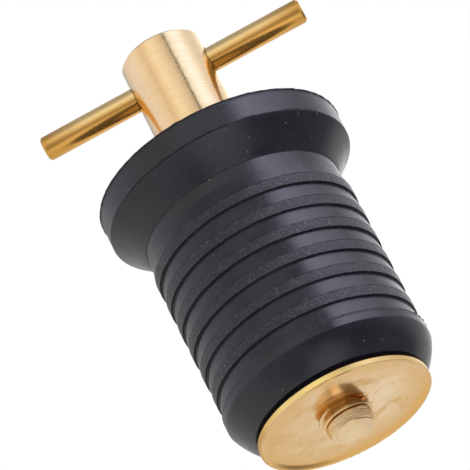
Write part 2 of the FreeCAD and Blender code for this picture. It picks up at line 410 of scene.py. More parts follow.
def grain(around, height, kind):
    """Noise at a direction round the plug and a height in mm."""
    waves, rise, offset = kind
    return noise.noise(Vector((around.x * waves, around.y * waves, height * rise + offset)))


def bung_unevenness(r, z, angle, surface):
    """Small departures of the moulding: waviness, ragged land edges, nicks on the rim and flash."""
    if r < HIDDEN_RADIUS:
        return r, z
    around = Vector((math.cos(angle), math.sin(angle), 0))
    height = z / MM
    fine = grain(around, height, FINE_NOISE)
    r += grain(around, height, SLOW_NOISE) * SLOW_WAVE
    if surface == ROUGH:
        r += fine * LAND_GRAIN
    if surface in (CREASE, DARK):
        r += max(0.0, grain(around, height, GAP_NOISE)) * CREASE_FILLING
    if surface == ROUGH and -z % TIER_PITCH > SHOULDER_START:
        z += grain(around, height, SHOULDER_NOISE) * SHOULDER_RAGGEDNESS
    if z > LIP_LOW and r > LIP_INSIDE:
        worn = min(0.0, grain(around, height, LIP_NOISE) - LIP_WEAR_START)
        r += worn * LIP_WEAR + fine * LIP_GRAIN
        for centre, width, size in RIM_NICKS:
            z += bump_at(angle, centre, width) * size * NICK_SHARE * MM
    last_crease = -TIER_STEPS * TIER_PITCH
    if abs(z - last_crease) < FLASH_REACH:
        jag = FLASH_LEAST + FLASH_JAG * grain(around, height, FLASH_NOISE)
        for centre, width, size in LAST_CREASE_FLASH:
            r += bump_at(angle, centre, width) * size * jag * MM
    return r, z


def make_bung():
    """The rubber, with its outline closed along the top of the bore."""
    vertices, faces, surfaces = lathe(bung_path(), BUNG_SIDES, bung_unevenness)
    count = len(vertices) // BUNG_SIDES
    for side in range(BUNG_SIDES):
        first = side * count
        following = (side + 1) % BUNG_SIDES * count
        faces.append((first + count - 1, following + count - 1, following, first))
    return build_object("bung_rubber", [(vertices, faces, surfaces)])


def thread_radius(angle, z):
    """Radius of the full right-hand thread at an angle from +X and a height."""
    turned = (angle + math.pi / 2) / (2 * math.pi)
    rise = (z - CREST_PHASE_HEIGHT) / THREAD_PITCH - turned
    away = abs(rise - round(rise)) * THREAD_PITCH
    flank = THREAD_PITCH / 2 - CREST_FLAT / 2 - ROOT_FLAT / 2
    share = min(max((away - CREST_FLAT / 2) / flank, 0.0), 1.0)
    return THREAD_RADIUS - THREAD_DEPTH * share


def tip_radius(z):
    """Radius of the tapered plain tip at a height."""
    share = (z - stud_low.z) / TIP_LENGTH
    return TIP_END_RADIUS + (TIP_RADIUS - TIP_END_RADIUS) * min(share, 1.0)


def tool_marks(angle, z):
    """Height of the fine helical marks that the turning tool left, strongest towards +X."""
    strength = TOOL_MARK_ELSEWHERE + bump_at(angle, *TOOL_MARK_SIDE)
    wave = math.sin(2 * math.pi * z / TOOL_FEED + angle)
    fade = min(max((z - stud_low.z - 2 * TIP_CHAMFER) / TOOL_FEED, 0.0), 1.0)
    return TOOL_MARK * strength * wave * fade


def burr(angle, z):
    """Height of the curl of brass beside the plate."""
    away = bump_at(angle, BURR_ANGLE, BURR_WIDTH)
    away *= math.exp(-(((z - BURR_HEIGHT) / BURR_THICKNESS) ** 2))
    turns, rise, offset = BURR_WAVES
    ragged = noise.noise(Vector((angle * turns, z / MM * rise, offset)))
    return BURR_SIZE * away * (1 + BURR_RAGGEDNESS * ragged)


def last_crest(angle):
    """Height of the lowest crest at an angle, and how much of it is left where it fades out."""
    turned = ((angle + math.pi / 2) / (2 * math.pi) + 0.5) % 1.0 - 0.5
    crest = CREST_PHASE_HEIGHT + turned * THREAD_PITCH
    full = (crest - CREST_FADE_END) / (CREST_FADE_START - CREST_FADE_END)
    return crest, min(max(full, 0.0), 1.0)


def stud_radius(angle, z):
    """The thread down to its last crest, which fades out behind, and the plain tip below it."""
    crest, full = last_crest(angle)
    if z > crest + THREAD_PITCH / 2:
        return thread_radius(angle, z) + burr(angle, z)
    plain = tip_radius(z) + tool_marks(angle, z)
    root = THREAD_RADIUS - THREAD_DEPTH if z > crest else plain
    threaded = max(thread_radius(angle, z), root) if z > crest - THREAD_PITCH / 2 else plain
    groove = UNDERCUT * math.exp(-(((crest - UNDERCUT_DROP - z) / UNDERCUT_WIDTH) ** 2))
    return plain + (threaded - plain) * full - groove * full + burr(angle, z)


def stud_darkening(angle, z, r):
    """Crests and tip keep their tone, roots go darker, and the undercut gets a painted shadow."""
    crest, full = last_crest(angle)
    if z > crest:
        return FLAT + (THREAD_RADIUS - r) / THREAD_DEPTH
    away = (crest - UNDERCUT_DROP - z) / UNDERCUT_SHADE_WIDTH
    return FLAT + UNDERCUT_SHADE * full * math.exp(-(away ** 2))


def worked_tip(r, z, angle, surface):
    """The tip's side with its tool marks; its end face stays as it is."""
    return (r + tool_marks(angle, z) if r > TIP_END_RADIUS else r), z


def make_stud():
    """Stud with its thread, the plain turned tip below it and the shank above."""
    low = CREST_PHASE_HEIGHT - THREAD_PITCH
    thread = screw_sheet(low, THREAD_TOP, stud_radius, STUD_SIDES, STUD_ROWS, stud_darkening)
    tip_end = stud_low.z
    tip_corners = [
        (0.0, tip_end + TIP_HOLLOW, 0, FLAT),
        (TIP_HOLLOW_RADIUS, tip_end + TIP_HOLLOW / 2, 0, FLAT),
        (TIP_END_RADIUS - TIP_CHAMFER, tip_end, TIP_ROUND, FLAT),
        (TIP_END_RADIUS, tip_end + TIP_CHAMFER, TIP_ROUND, FLAT),
        (tip_radius(low), low, 0, FLAT),
    ]
    tip = lathe(refine(soften(tip_corners), TIP_STEP), STUD_SIDES, worked_tip)
    shank_corners = [
        (SHANK_RADIUS, THREAD_TOP, 0, FLAT),
        (SHANK_RADIUS, stud_high.z, 0, FLAT),
        (0.0, stud_high.z, 0, FLAT),
    ]
    shank = lathe(refine(soften(shank_corners), SHANK_STEP), STUD_SIDES)
    return build_object("stud_thread", [thread, tip, shank])


def hole_radius(angle, z):
    """Radius of the tapped hole, which follows the stud's thread."""
    return thread_radius(angle, z) + TAP_CLEARANCE


def burr_height(r, angle):
    """Height of the small burr that the tap left at the edge of the hole."""
    away = (r - TAP_BURR_RADIUS) / TAP_BURR_SIZE
    return bump_at(angle, TAP_BURR_ANGLE, TAP_BURR_WIDTH) * math.exp(-(away ** 2)) * TAP_BURR_SIZE


def dished(r):
    """How far the plate's lower face lies inside its rim at a radius."""
    outer = plate_high.x - PLATE_ROUND
    share = min(max((outer - r) / (outer - DISH_FLOOR_RADIUS), 0.0), 1.0)
    return PLATE_DISH * share * share * (3 - 2 * share)


def plate_face(height, lower):
    """One face of the plate, from the thread's edge out to the rim."""
    outer = plate_high.x - PLATE_ROUND
    middle = height + (dished(THREAD_RADIUS) if lower else 0.0)
    vertices = []
    for side in range(PLATE_SIDES):
        angle = 2 * math.pi * side / PLATE_SIDES
        inner = hole_radius(angle, middle)
        for ring in range(PLATE_RINGS):
            share = (ring / (PLATE_RINGS - 1)) ** RING_CROWDING
            r = inner + (outer - inner) * share
            z = height + dished(r) - burr_height(r, angle) if lower else height
            vertices.append((r * math.cos(angle), r * math.sin(angle), z))
    return vertices, grid_faces(PLATE_SIDES, PLATE_RINGS), [FLAT] * len(vertices)


def make_plate():
    """Clamp plate, a shallow pan with a hole that carries the stud's thread in reverse."""
    floor = plate_low.z + dished(THREAD_RADIUS)
    hole = screw_sheet(floor, plate_high.z, hole_radius, PLATE_SIDES, PLATE_ROWS)
    outer = plate_high.x
    rounding = PLATE_ROUND * 0.999              # just short of the faces' edges, which stay corners
    rim_corners = [
        (outer - PLATE_ROUND, plate_low.z, 0, SMOOTH),
        (outer, plate_low.z, rounding, SMOOTH),
        (outer, plate_high.z, rounding, SMOOTH),
        (outer - PLATE_ROUND, plate_high.z, 0, SMOOTH),
    ]
    rim = lathe(soften(rim_corners), PLATE_SIDES)
    lower = plate_face(plate_low.z, lower=True)
    upper = plate_face(plate_high.z, lower=False)
    return build_object("plate_disc", [hole, rim, lower, upper])


class Nodes:
    """A node tree, made by short calls."""

    def __init__(self, tree):
        self.nodes = tree.nodes
        self.links = tree.links

    def add(self, kind, **settings):
        node = self.nodes.new(kind)
        for name, value in settings.items():
            setattr(node, name, value)
        return node

    def join(self, source, target):
        self.links.new(source, target)

    def feed(self, value, socket):
        """Join a socket, or set a colour or a number on it."""
        if isinstance(value, bpy.types.NodeSocket):
            self.join(value, socket)
        elif isinstance(value, tuple):
            socket.default_value = (*value, 1.0)
        else:
            socket.default_value = value

    def split(self, source):
        """The X, Y and Z of a vector, by name."""
        node = self.add("ShaderNodeSeparateXYZ")
        self.join(source, node.inputs[0])
        return node.outputs

    def math(self, operation, a, b=0.0, clamp=False):
        node = self.add("ShaderNodeMath", operation=operation, use_clamp=clamp)
        self.feed(a, node.inputs[0])
        self.feed(b, node.inputs[1])
        return node.outputs[0]

    def spread(self, source, low, high, start=0.0, end=1.0, curve="LINEAR"):
        """Map a value between start and end to low and high."""
        node = self.add("ShaderNodeMapRange", interpolation_type=curve)
        self.join(source, node.inputs["Value"])
        node.inputs["From Min"].default_value = start
        node.inputs["From Max"].default_value = end
        node.inputs["To Min"].default_value = low
        node.inputs["To Max"].default_value = high
        return node.outputs["Result"]

    def ramp(self, source, stops):
        """Colours, or greys, by value."""
        node = self.add("ShaderNodeValToRGB")
        elements = node.color_ramp.elements
        while len(elements) < len(stops):
            elements.new(0.5)
        for element, (place, colour) in zip(elements, stops):
            element.position = place
            element.color = (*colour, 1.0) if isinstance(colour, tuple) else (colour,) * 3 + (1.0,)
        self.join(source, node.inputs["Fac"])
        return node.outputs["Color"]

    def mix(self, share, a, b, kind="MIX"):
        node = self.add("ShaderNodeMix", data_type="RGBA", blend_type=kind)
        for value, socket in ((share, node.inputs[0]), (a, node.inputs[6]), (b, node.inputs[7])):
            self.feed(value, socket)
        return node.outputs[2]


# What the shader's own patterns take: waves to a metre of what moves the turned arcs, and the radii
# between which a speck fades out, as shares of its cell.
WANDER_WAVES = (500, 500, 500)
SPECK_EDGE = (0.06, 0.14)


class Shader(Nodes):
    """A material's nodes. Noise scales are in waves to a metre."""

    def __init__(self, name):
        self.material = bpy.data.materials.new(name)
        self.material.use_nodes = True
        super().__init__(self.material.node_tree)
        self.surface = self.nodes["Principled BSDF"]
        self.place = self.add("ShaderNodeTexCoord").outputs["Object"]

    def kind(self):
        """The kind of surface that the mesh carries."""
        return self.add("ShaderNodeAttribute", attribute_name="surface").outputs["Fac"]

    def stretched(self, scale):
        """Object coordinates, in metres, times a scale for each axis."""
        mapping = self.add("ShaderNodeMapping")
        mapping.inputs["Scale"].default_value = scale
        self.join(self.place, mapping.inputs["Vector"])
        return mapping.outputs["Vector"]

    def radius(self):
        """Distance from the plug's axis, in metres."""
        flat = self.add("ShaderNodeVectorMath", operation="MULTIPLY")
        self.join(self.place, flat.inputs[0])
        flat.inputs[1].default_value = (1.0, 1.0, 0.0)
        length = self.add("ShaderNodeVectorMath", operation="LENGTH")
        self.join(flat.outputs[0], length.inputs[0])
        return length.outputs["Value"]

    def noise_at(self, vector, detail, roughness=0.5, distortion=0.0):
        texture = self.add("ShaderNodeTexNoise")
        texture.inputs["Scale"].default_value = 1.0
        texture.inputs["Detail"].default_value = detail
        texture.inputs["Roughness"].default_value = roughness
        texture.inputs["Distortion"].default_value = distortion
        self.join(vector, texture.inputs["Vector"])
        return texture.outputs["Fac"]

    def noise(self, scale, detail=3.0, roughness=0.55, distortion=0.0):
        return self.noise_at(self.stretched(scale), detail, roughness, distortion)

    def rings(self, scale, wander, along):
        """Noise in arcs round the plug's axis, such as a turning tool leaves."""
        parts = self.split(self.place)
        drift = self.spread(self.noise(WANDER_WAVES, detail=2), -wander, wander)
        outward = self.math("MULTIPLY", self.math("ADD", self.radius(), drift), scale)
        upward = self.math("MULTIPLY", self.math("ADD", parts["Z"], drift), scale)
        short_y = self.math("MULTIPLY", parts["Y"], along)
        turned = self.add("ShaderNodeCombineXYZ")
        self.join(self.math("ADD", outward, short_y), turned.inputs["X"])
        self.join(self.math("MULTIPLY", parts["X"], along), turned.inputs["Y"])
        self.join(upward, turned.inputs["Z"])
        return self.noise_at(turned.outputs[0], detail=2.0)

    def specks(self, density, rarity):
        """Small round specks, in the few cells whose luck is above the rarity."""
        cells = self.add("ShaderNodeTexVoronoi")
        cells.inputs["Scale"].default_value = 1.0
        self.join(self.stretched((density,) * 3), cells.inputs["Vector"])
        near = self.spread(cells.outputs["Distance"], 1.0, 0.0, *SPECK_EDGE)
        luck = self.add("ShaderNodeSeparateColor")
        self.join(cells.outputs["Color"], luck.inputs["Color"])
        rare = self.math("GREATER_THAN", luck.outputs["Red"], rarity)
        return self.math("MULTIPLY", near, rare, clamp=True)

    def relief(self, height, distance, strength=1.0, under=None):
        node = self.add("ShaderNodeBump")
        node.inputs["Strength"].default_value = strength
        node.inputs["Distance"].default_value = distance
        self.join(height, node.inputs["Height"])
        if under is not None:
            self.join(under, node.inputs["Normal"])
        return node.outputs["Normal"]

    def finish(self, colour, roughness, normal=None):
        self.join(colour, self.surface.inputs["Base Color"])
        self.join(roughness, self.surface.inputs["Roughness"])
        if normal is not None:
            self.join(normal, self.surface.inputs["Normal"])
        return self.material


# Rubber: tones, in linear colour, dust, and its noises in waves to a metre with the depths of
# their relief.
RUBBER_DARK = (0.0070, 0.0076, 0.0160)
RUBBER_LIGHT = (0.0200, 0.0198, 0.0310)
SPECKLE_TONE = (0.062, 0.06, 0.07)
# painted shade: the near-black of the grooves
GROOVE_SHADE_TONE = (0.002, 0.002, 0.003)
# painted highlight: the light grey along the ridges, in patches
RIDGE_HIGHLIGHT_TONE = (0.22, 0.21, 0.22)
DUST_TONE = (0.2, 0.18, 0.15)
DUST_DENSITY = 900
DUST_RARITY = 0.93
RUBBER_SHEEN = (0.93, 0.95, 1.0)
CLOUD_WAVES = (170, 170, 260)
MOTTLE_WAVES = (1500, 1500, 1500)
RIPPLE_WAVES = (700, 700, 420)
RIPPLE_DEPTH = 0.02 * MM
GRAIN_WAVES = (4600, 4600, 5200)
GRAIN_DEPTH = 0.008 * MM
PIT_WAVES = (2600, 2600, 2600)
PIT_DEPTH = 0.15 * MM
SOFT_RELIEF = 0.5
PIT_RELIEF = 0.9

# How the rubber's tones and roughness follow its noises and the kind of surface. An edge is the
# pair of values between which one look gives way to the other.
CLOUD_SHARE = 0.6
MOTTLE_SHARE = 0.4
DARKEST = 0.36
LIGHTEST = 0.64
SPECKLE_EDGE = (0.515, 0.655)
GROOVE_SHADE_END = -0.2
RIDGE_START = 1.1
RIDGE_HIGHLIGHT_SHARE = (0.1, 1.0)
RIDGE_HIGHLIGHT_EDGE = (0.4, 0.62)
CONE_ROUGHNESS = (0.2, 0.36)
CONE_EDGE = (0.38, 0.62)
LAND_ROUGHNESS = (0.44, 0.30)
LAND_EDGE = (0.35, 0.7)


def rubber_material():
    """Black moulded rubber: glossy cones, rough speckled lands, clouds and dust,
    with painted shade in its grooves and a painted highlight along its ridges.
    """
    shader = Shader("black_rubber")
    kind = shader.kind()
    cloudy = shader.noise(CLOUD_WAVES, detail=4)
    ripple = shader.noise(RIPPLE_WAVES, detail=4, roughness=0.6)
    fine = shader.noise(GRAIN_WAVES, detail=3)
    pits = shader.noise(PIT_WAVES, detail=5, roughness=0.65)
    mottle = shader.noise(MOTTLE_WAVES, detail=4, roughness=0.7)
    clouds = shader.math("MULTIPLY", cloudy, CLOUD_SHARE)
    patchy = shader.math("ADD", clouds, shader.math("MULTIPLY", mottle, MOTTLE_SHARE))

    tone = shader.ramp(patchy, [(DARKEST, RUBBER_DARK), (LIGHTEST, RUBBER_LIGHT)])
    speckle = shader.spread(pits, 0.0, 1.0, *SPECKLE_EDGE)
    colour = shader.mix(kind, tone, shader.mix(speckle, tone, SPECKLE_TONE))
    # Painted shade: the grooves turn near-black.
    line = shader.spread(kind, 1.0, 0.0, start=DARK, end=GROOVE_SHADE_END)
    colour = shader.mix(line, colour, GROOVE_SHADE_TONE)
    # Painted highlight: the ridges turn light grey in patches.
    ridge = shader.spread(kind, 0.0, 1.0, start=RIDGE_START, end=HIGHLIT_RIDGE)
    patches = shader.spread(mottle, *RIDGE_HIGHLIGHT_SHARE, *RIDGE_HIGHLIGHT_EDGE)
    colour = shader.mix(shader.math("MULTIPLY", ridge, patches), colour, RIDGE_HIGHLIGHT_TONE)
    colour = shader.mix(shader.specks(DUST_DENSITY, DUST_RARITY), colour, DUST_TONE)

    roughness = shader.add("ShaderNodeMix", data_type="FLOAT")
    shader.feed(kind, roughness.inputs[0])
    shader.feed(shader.spread(patchy, *CONE_ROUGHNESS, *CONE_EDGE), roughness.inputs[2])
    shader.feed(shader.spread(pits, *LAND_ROUGHNESS, *LAND_EDGE), roughness.inputs[3])

    normal = shader.relief(ripple, RIPPLE_DEPTH, SOFT_RELIEF)
    normal = shader.relief(fine, GRAIN_DEPTH, SOFT_RELIEF, under=normal)
    pitted = shader.math("MULTIPLY", pits, kind)
    normal = shader.relief(pitted, PIT_DEPTH, PIT_RELIEF, under=normal)
    shader.surface.inputs["Specular Tint"].default_value = (*RUBBER_SHEEN, 1.0)
    return shader.finish(colour, roughness.outputs[0], normal)


# Brass: its noises in waves to a metre, and how its tones and roughness follow them.
STAIN_WAVES = (260, 260, 260)
BAND_WAVES = (210, 210, 210)
RIM_WAVES = (150, 150, 150)
CHATTER_WAVES = (1300, 1300, 2700)
FIRST_TONE = 0.32
SECOND_TONE = 0.68
STAIN_EDGE = (0.5, 0.8)
STREAKS = 0.12
STREAK_EDGE = (0.45, 0.75)
GROOVE_EDGE = (0.48, 0.72)
ROUGHNESS_EDGE = (0.35, 0.65)
# how far the thread's roots darken, and where the undercut's painted shadow comes in
ROOT_DARKENING = 0.75
ROOT_EDGE = (0.8, 1.6)
UNDERCUT_SHADE_EDGE = (1.45, 1.8)
TURNING_WANDER = 0.08 * MM
RIM_DULLNESS = 0.16                             # extra roughness of the plate's rim
# The rim's painted highlight: how far along X it reaches, and how far it drifts.
RIM_REACH = 14 * MM
RIM_DRIFT = 5 * MM


def rim_highlight_look(shader, across, rim_tones, colour, roughness):
    """Colour and roughness with the plate's rim, which the mesh marks as smooth, added to them;
    the rim's tones carry a painted highlight.
    """
    drifting = shader.spread(shader.noise(RIM_WAVES, detail=3), -RIM_DRIFT, RIM_DRIFT)
    place = shader.math("ADD", across, drifting)
    rim = shader.ramp(shader.spread(place, 0.0, 1.0, -RIM_REACH, RIM_REACH), rim_tones)
    inner = shader.math("GREATER_THAN", shader.kind(), FLAT / 2)
    duller = shader.spread(inner, RIM_DULLNESS, 0.0)
    return shader.mix(inner, rim, colour), shader.math("ADD", roughness, duller)


def brass_material(name, tones, rough, marks, marks_depth, tarnish, drift=(90, 90, 60),
                   rim_tones=None, turned=None, chatter=0.0, bands=(), fades=(), shade_colour=None,
                   metal=1.0):
    """Bare brass, with the tones of its two clouds and of its stains.

    rough is the range of its roughness, and tarnish the share of stains.
    marks and drift are the waves to a metre of the tool marks and of the clouds.
    rim_tones are the colours, from -X to +X, of what the mesh marks as smooth: the plate's rim,
    brass tones with a painted highlight across its middle.
    turned gives a turning tool's arcs: fineness and shortness are the waves to a metre across and
    along them, depth their relief and tint their share of stain.
    chatter is the depth of the tool's short marks.
    fades are tones of painted shade, each with the axis and the two places between which it comes
    in.
    bands are tones, each with the two radii between which it comes in and how far it wanders.
    The colour of painted shade is given for the places that the mesh marks as deepest.
    metal is the share of bare metal; the rest is the dull film that handling leaves.
    """
    shader = Shader(name)
    stain_tone = tones[2]
    lines = shader.noise(marks, detail=2, roughness=0.6)
    cloudy = shader.noise(drift, detail=4)
    stained = shader.noise(STAIN_WAVES, detail=5, roughness=0.7, distortion=0.6)
    colour = shader.ramp(cloudy, [(FIRST_TONE, tones[0]), (SECOND_TONE, tones[1])])
    stains = shader.spread(stained, 0.0, tarnish, *STAIN_EDGE)
    colour = shader.mix(stains, colour, stain_tone)
    streaks = shader.spread(lines, 0.0, STREAKS, *STREAK_EDGE)
    colour = shader.mix(streaks, colour, stain_tone)

    parts = shader.split(shader.place)
    for axis, tone, start, end in fades:
        colour = shader.mix(shader.spread(parts[axis], 0.0, 1.0, start, end), colour, tone)
    for tone, start, end, wander in bands:
        drifting = shader.spread(shader.noise(BAND_WAVES, detail=3), -wander, wander)
        outward = shader.math("ADD", shader.radius(), drifting)
        colour = shader.mix(shader.spread(outward, 0.0, 1.0, start, end), colour, tone)

    half_lines = shader.math("MULTIPLY", lines, 0.5)
    uneven = shader.math("ADD", half_lines, shader.math("MULTIPLY", stained, 0.5))
    roughness = shader.spread(uneven, *rough, *ROUGHNESS_EDGE)
    normal = shader.relief(lines, marks_depth)
    if turned:
        grooves = shader.rings(turned["fineness"], TURNING_WANDER, turned["shortness"])
        tint = shader.spread(grooves, 0.0, turned["tint"], *GROOVE_EDGE)
        colour = shader.mix(tint, colour, stain_tone)
        normal = shader.relief(grooves, turned["depth"], under=normal)
    if rim_tones:
        colour, roughness = rim_highlight_look(shader, parts["X"], rim_tones, colour, roughness)
    if shade_colour:
        kind = shader.kind()
        # Darker towards the thread's roots, and a painted shadow in the undercut.
        colour = shader.mix(shader.spread(kind, 0.0, ROOT_DARKENING, *ROOT_EDGE), colour, stain_tone)
        colour = shader.mix(shader.spread(kind, 0.0, 1.0, *UNDERCUT_SHADE_EDGE), colour, shade_colour)
    if chatter:
        short = shader.noise(CHATTER_WAVES, detail=2, roughness=0.6)
        normal = shader.relief(short, chatter, under=normal)
    shader.surface.inputs["Metallic"].default_value = metal
    return shader.finish(colour, roughness, normal)


def paint(node_name, material):
    """Give a carried-over part its finish."""
    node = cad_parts[node_name]
    node.data.materials.clear()
    node.data.materials.append(material)


def place_bung():
    """The rubber, on a body and with a mesh of its own."""
    bung = make_bung()
    bung.data.materials.append(rubber_material())
    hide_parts("rubber_bung")
    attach(bung, "bung")
    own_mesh(bung)
    return bung


def place_stud():
    """The threaded stud, which turns with the handle."""
    stud = make_stud()
    stud.data.materials.append(brass_material(
        "stud_brass", tones=[(0.87, 0.66, 0.36), (0.93, 0.72, 0.45), (0.62, 0.37, 0.14)],
        rough=(0.14, 0.26), marks=(260, 260, 900), marks_depth=0.004 * MM, tarnish=0.45,
        turned=dict(fineness=4200, depth=0.016 * MM, tint=0.5, shortness=160),
        # painted shade: the stud turns darker towards +X
        fades=[("X", (0.70, 0.52, 0.32), 0.5 * MM, 5 * MM)],
        # painted shadow in the thread's undercut
        shade_colour=(0.04, 0.018, 0.006)))
    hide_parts("threaded_stud")
    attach(stud, "handle")


def place_plate():
    """The clamp plate, which climbs the stud."""
    plate = make_plate()
    plate.data.materials.append(brass_material(
        "plate_brass", tones=[(0.84, 0.60, 0.32), (0.95, 0.74, 0.48), (0.72, 0.44, 0.15)],
        rough=(0.1, 0.22), marks=(240, 2100, 700), marks_depth=0.003 * MM, tarnish=2.0,
        drift=(110, 190, 150),
        # the rim: brass tones with a painted highlight across the middle, darker towards -X and +X
        rim_tones=[(0.1, (0.72, 0.42, 0.11)), (0.32, (1.0, 0.82, 0.36)), (0.52, (1.0, 0.78, 0.32)),
                   (0.8, (0.76, 0.53, 0.22))],
        # painted shade: the face turns darker gold towards -X
        fades=[("X", (0.78, 0.50, 0.20), -3 * MM, -16 * MM)],
        bands=[((0.80, 0.50, 0.19), 7.5 * MM, 12.8 * MM, 2.6 * MM)]))
    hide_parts("clamp_plate")
    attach(plate, "plate")


def paint_hub():
    """Turned hub, bright with fine arcs."""
    paint("handle_hub", brass_material(
        "hub_brass", tones=[(0.90, 0.70, 0.43), (0.93, 0.73, 0.46), (0.74, 0.52, 0.26)],
        rough=(0.11, 0.2), marks=(420, 420, 1800), marks_depth=0.004 * MM, tarnish=0.22,
        turned=dict(fineness=3000, depth=0.014 * MM, tint=0.3, shortness=420),
        chatter=0.016 * MM))


def paint_bar():
    """Drawn bar, with handling film, painted shade below its middle, a painted shadow at the hub
    and darker bands towards its ends.
    """
    bar_low, bar_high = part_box("handle_bar")
    bar_middle = (bar_low.z + bar_high.z) / 2
    paint("handle_bar", brass_material(
        "bar_brass", tones=[(0.94, 0.69, 0.32), (0.98, 0.75, 0.38), (0.66, 0.38, 0.13)],
        rough=(0.16, 0.28), marks=(120, 2600, 2600), marks_depth=0.0015 * MM, tarnish=0.7,
        # painted shade: the bar turns deeper orange below its middle
        fades=[("Z", (0.97, 0.52, 0.12), bar_middle, bar_middle - 0.8 * MM)],
        bands=[((0.68, 0.38, 0.085), 15 * MM, 21.5 * MM, 0.6 * MM),
               # painted shadow where the bar enters the hub
               ((0.40, 0.23, 0.07), 6.6 * MM, 6.4 * MM, 0.05 * MM)],
        metal=0.82))


def paint_washer():
    """Satin washer under the hub."""
    paint("thrust_washer", brass_material(
        "washer_brass", tones=[(0.82, 0.62, 0.34), (0.88, 0.69, 0.41), (0.55, 0.38, 0.18)],
        rough=(0.22, 0.36), marks=(900, 900, 900), marks_depth=0.004 * MM, tarnish=0.35))


# Studio: camera at the photograph's angle, below the plug and looking up at the plate.
CAMERA_AZIMUTH = math.radians(3.1746)
CAMERA_ELEVATION = math.radians(-27.6935)
CAMERA_ROLL = math.radians(-27.0795)
CAMERA_AIM = Vector((-2.283, -1.060, 1.775)) * MM
CAMERA_DISTANCE = 693.85 * MM
CAMERA_LENS = 366.31
SENSOR_WIDTH = 36.0
CLIP_START = 10 * MM
CLIP_END = 1000.0
FLOOR_HEIGHT = -420 * MM
FLOOR_REACH = 400.0
FLOOR_WAVES = (3, 3, 3)
FLOOR_GREYS = [(0.3, 0.86), (0.7, 0.88)]
FLOOR_ROUGHNESS = (0.8, 0.9)


def make_camera():
    """The photograph's camera, with its roll."""
    data = bpy.data.cameras.new("camera")
    data.lens = CAMERA_LENS
    data.sensor_width = SENSOR_WIDTH
    data.clip_start = CLIP_START
    data.clip_end = CLIP_END
    camera = bpy.data.objects.new("camera", data)
    bpy.context.scene.collection.objects.link(camera)
    back = Vector((
        math.sin(CAMERA_AZIMUTH) * math.cos(CAMERA_ELEVATION),
        -math.cos(CAMERA_AZIMUTH) * math.cos(CAMERA_ELEVATION),
        math.sin(CAMERA_ELEVATION),
    ))
    right = Vector((math.cos(CAMERA_AZIMUTH), math.sin(CAMERA_AZIMUTH), 0))
    up = back.cross(right)
    rolled_right = right * math.cos(CAMERA_ROLL) + up * math.sin(CAMERA_ROLL)
    rolled_up = back.cross(rolled_right)
    camera.matrix_world = Matrix((
        (rolled_right.x, rolled_up.x, back.x, CAMERA_AIM.x + back.x * CAMERA_DISTANCE),
        (rolled_right.y, rolled_up.y, back.y, CAMERA_AIM.y + back.y * CAMERA_DISTANCE),
        (rolled_right.z, rolled_up.z, back.z, CAMERA_AIM.z + back.z * CAMERA_DISTANCE),
        (0, 0, 0, 1),
    ))
    bpy.context.scene.camera = camera


def make_floor():
    """A wide pale floor far below the plug."""
    mesh = bpy.data.meshes.new("floor")
    signs = ((-1, -1), (1, -1), (1, 1), (-1, 1))
    corners = [(x * FLOOR_REACH, y * FLOOR_REACH, FLOOR_HEIGHT) for x, y in signs]
    mesh.from_pydata(corners, [], [(0, 1, 2, 3)])
    floor = bpy.data.objects.new("floor", mesh)
    bpy.context.scene.collection.objects.link(floor)
    shader = Shader("floor")
    shade = shader.noise(FLOOR_WAVES, detail=2)
    colour = shader.ramp(shade, FLOOR_GREYS)
    roughness = shader.spread(shade, *FLOOR_ROUGHNESS)
    mesh.materials.append(shader.finish(colour, roughness))
    floor.visible_glossy = False


# Brightness of the studio wall by compass direction, in degrees from +X towards +Y: a white room
# with a bright softbox to the right of the camera and a thin dark seam beside it.
WALL = [
    (-180, (0.91, 0.87, 0.88)), (-167, (0.94, 0.88, 0.87)), (-155, (0.96, 0.87, 0.81)),
    (-143, (0.94, 0.84, 0.73)), (-131, (0.81, 0.70, 0.57)), (-119, (0.94, 0.84, 0.70)),
    (-107, (1.08, 1.00, 0.87)), (-95, (1.02, 0.98, 0.89)), (-83, (0.94, 0.87, 0.77)),
    (-71, (0.80, 0.73, 0.66)), (-60.5, (0.62, 0.57, 0.50)), (-58.5, (0.08, 0.06, 0.05)),
    (-55.5, (0.08, 0.06, 0.05)), (-53.5, (1.00, 1.05, 1.15)), (-47, (1.10, 1.17, 1.30)),
    (-35, (1.35, 1.38, 1.70)), (-23, (1.30, 1.33, 1.65)), (-11, (1.10, 1.15, 1.32)),
    (1, (0.96, 0.92, 0.99)), (13, (0.86, 0.83, 0.85)), (28, (0.86, 0.84, 0.86)),
    (48, (1.10, 1.09, 1.12)), (72, (1.55, 1.55, 1.60)), (88, (1.40, 1.40, 1.45)),
    (102, (0.62, 0.61, 0.62)), (117, (0.46, 0.45, 0.46)), (133, (0.68, 0.66, 0.66)),
    (157, (0.86, 0.81, 0.86)), (180, (0.91, 0.87, 0.88)),
]
CEILING = (0.38, 0.37, 0.38)
GROUND_LEFT = (0.46, 0.44, 0.44)
GROUND_RIGHT = (0.27, 0.24, 0.24)
GROUND_BEHIND = (0.84, 0.82, 0.80)
GROUND_FAR = (0.88, 0.82, 0.74)
TABLE_GLOW = (0.75, 0.73, 0.78)
WALL_FOOT = (0.80, 0.77, 0.73)
TABLE_DIRECTION = (0.215, -0.591, -0.777)

# Where one part of the room gives way to the next, along X, Y or Z of the direction looked in.
HORIZON = (-0.2, 0.02)
WALL_FOOT_END = (0.12, 0.36)
CEILING_EDGE = (0.46, 0.97)
GROUND_SIDES = (-0.6, 0.75)
FAR_SIDES = (0.12, 0.45)
FAR_EDGE = (-0.7, -0.3)
BEHIND_EDGE = (0.6, 0.85)
GLOW_EDGE = (0.9, 0.99)


